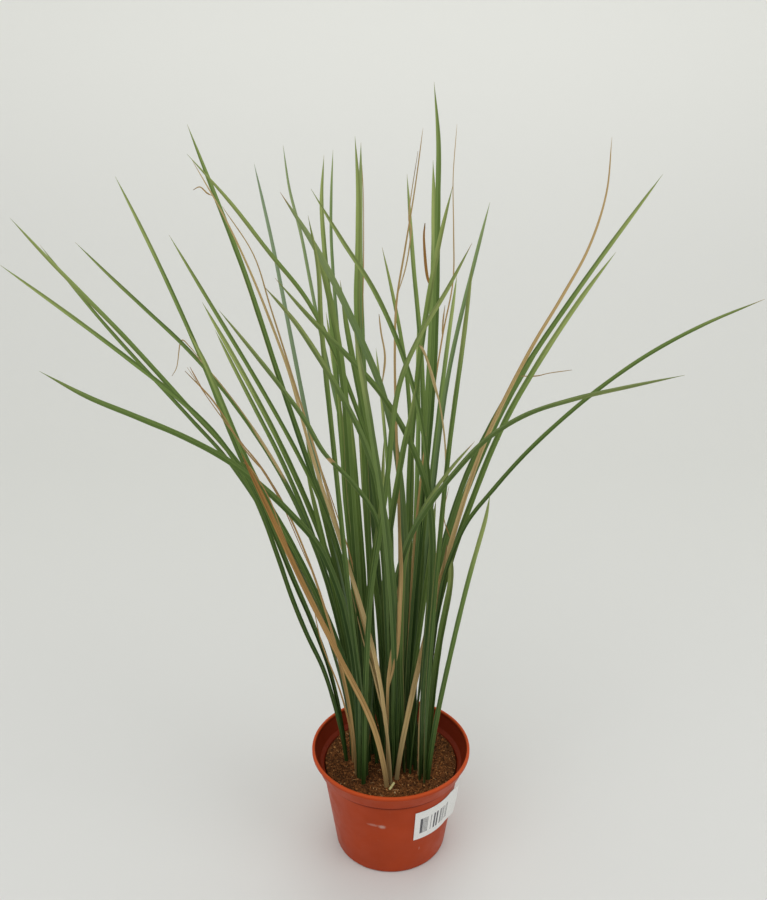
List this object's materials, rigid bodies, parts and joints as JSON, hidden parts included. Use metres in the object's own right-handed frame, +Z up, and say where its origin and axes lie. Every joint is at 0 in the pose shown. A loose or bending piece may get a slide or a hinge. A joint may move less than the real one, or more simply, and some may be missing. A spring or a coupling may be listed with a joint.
{
  "type": "potted ornamental grass",
  "caption": "Clump of long narrow grass leaves, mostly green with some dry ones, growing from soil in a round tapered plastic nursery pot with a rim band.",
  "frame": {"origin": "centre of the pot's underside, on the ground", "axes": "+Z up, the front of the plant faces -Y, and the label is to the right of the front, towards +X"},
  "size_m": [0.4494, 0.4302, 0.5583],
  "materials": {
    "pot_plastic": "satin terracotta-coloured plastic",
    "soil": "loose moist fibre and peat",
    "label_paper": "matt white paper with plain bars",
    "cut_stub": "matt",
    "green_leaf": "satin, faintly ribbed",
    "dry_leaf": "matt"
  },
  "bodies": {
    "root": {"pot": "pot_plastic", "potting_soil": "soil", "price_label": "label_paper", "cut_stub": "cut_stub", "green_leaf_01": "green_leaf", "green_leaf_02": "green_leaf", "green_leaf_03": "green_leaf", "green_leaf_04": "green_leaf", "green_leaf_05": "green_leaf", "green_leaf_06": "green_leaf", "green_leaf_07": "green_leaf", "green_leaf_08": "green_leaf", "green_leaf_09": "green_leaf", "green_leaf_10": "green_leaf", "green_leaf_11": "green_leaf", "green_leaf_12": "green_leaf", "green_leaf_13": "green_leaf", "green_leaf_14": "green_leaf", "green_leaf_15": "green_leaf", "green_leaf_16": "green_leaf", "green_leaf_17": "green_leaf", "green_leaf_18": "green_leaf", "green_leaf_19": "green_leaf", "green_leaf_20": "green_leaf", "green_leaf_21": "green_leaf", "green_leaf_22": "green_leaf", "green_leaf_23": "green_leaf", "green_leaf_24": "green_leaf", "green_leaf_25": "green_leaf", "green_leaf_26": "green_leaf", "green_leaf_27": "green_leaf", "green_leaf_28": "green_leaf", "green_leaf_29": "green_leaf", "green_leaf_30": "green_leaf", "green_leaf_31": "green_leaf", "green_leaf_32": "green_leaf", "green_leaf_33": "green_leaf", "green_leaf_34": "green_leaf", "green_leaf_35": "green_leaf", "green_leaf_36": "green_leaf", "green_leaf_37": "green_leaf", "green_leaf_38": "green_leaf", "green_leaf_39": "green_leaf", "green_leaf_40": "green_leaf", "green_leaf_41": "green_leaf", "green_leaf_42": "green_leaf", "green_leaf_43": "green_leaf", "green_leaf_44": "green_leaf", "green_leaf_45": "green_leaf", "green_leaf_46": "green_leaf", "green_leaf_47": "green_leaf", "dry_leaf_01": "dry_leaf", "dry_leaf_02": "dry_leaf", "dry_leaf_03": "dry_leaf", "dry_leaf_04": "dry_leaf", "dry_leaf_05": "dry_leaf", "dry_leaf_06": "dry_leaf", "dry_leaf_07": "dry_leaf", "dry_leaf_08": "dry_leaf", "dry_leaf_09": "dry_leaf"}
  },
  "joints": []
}
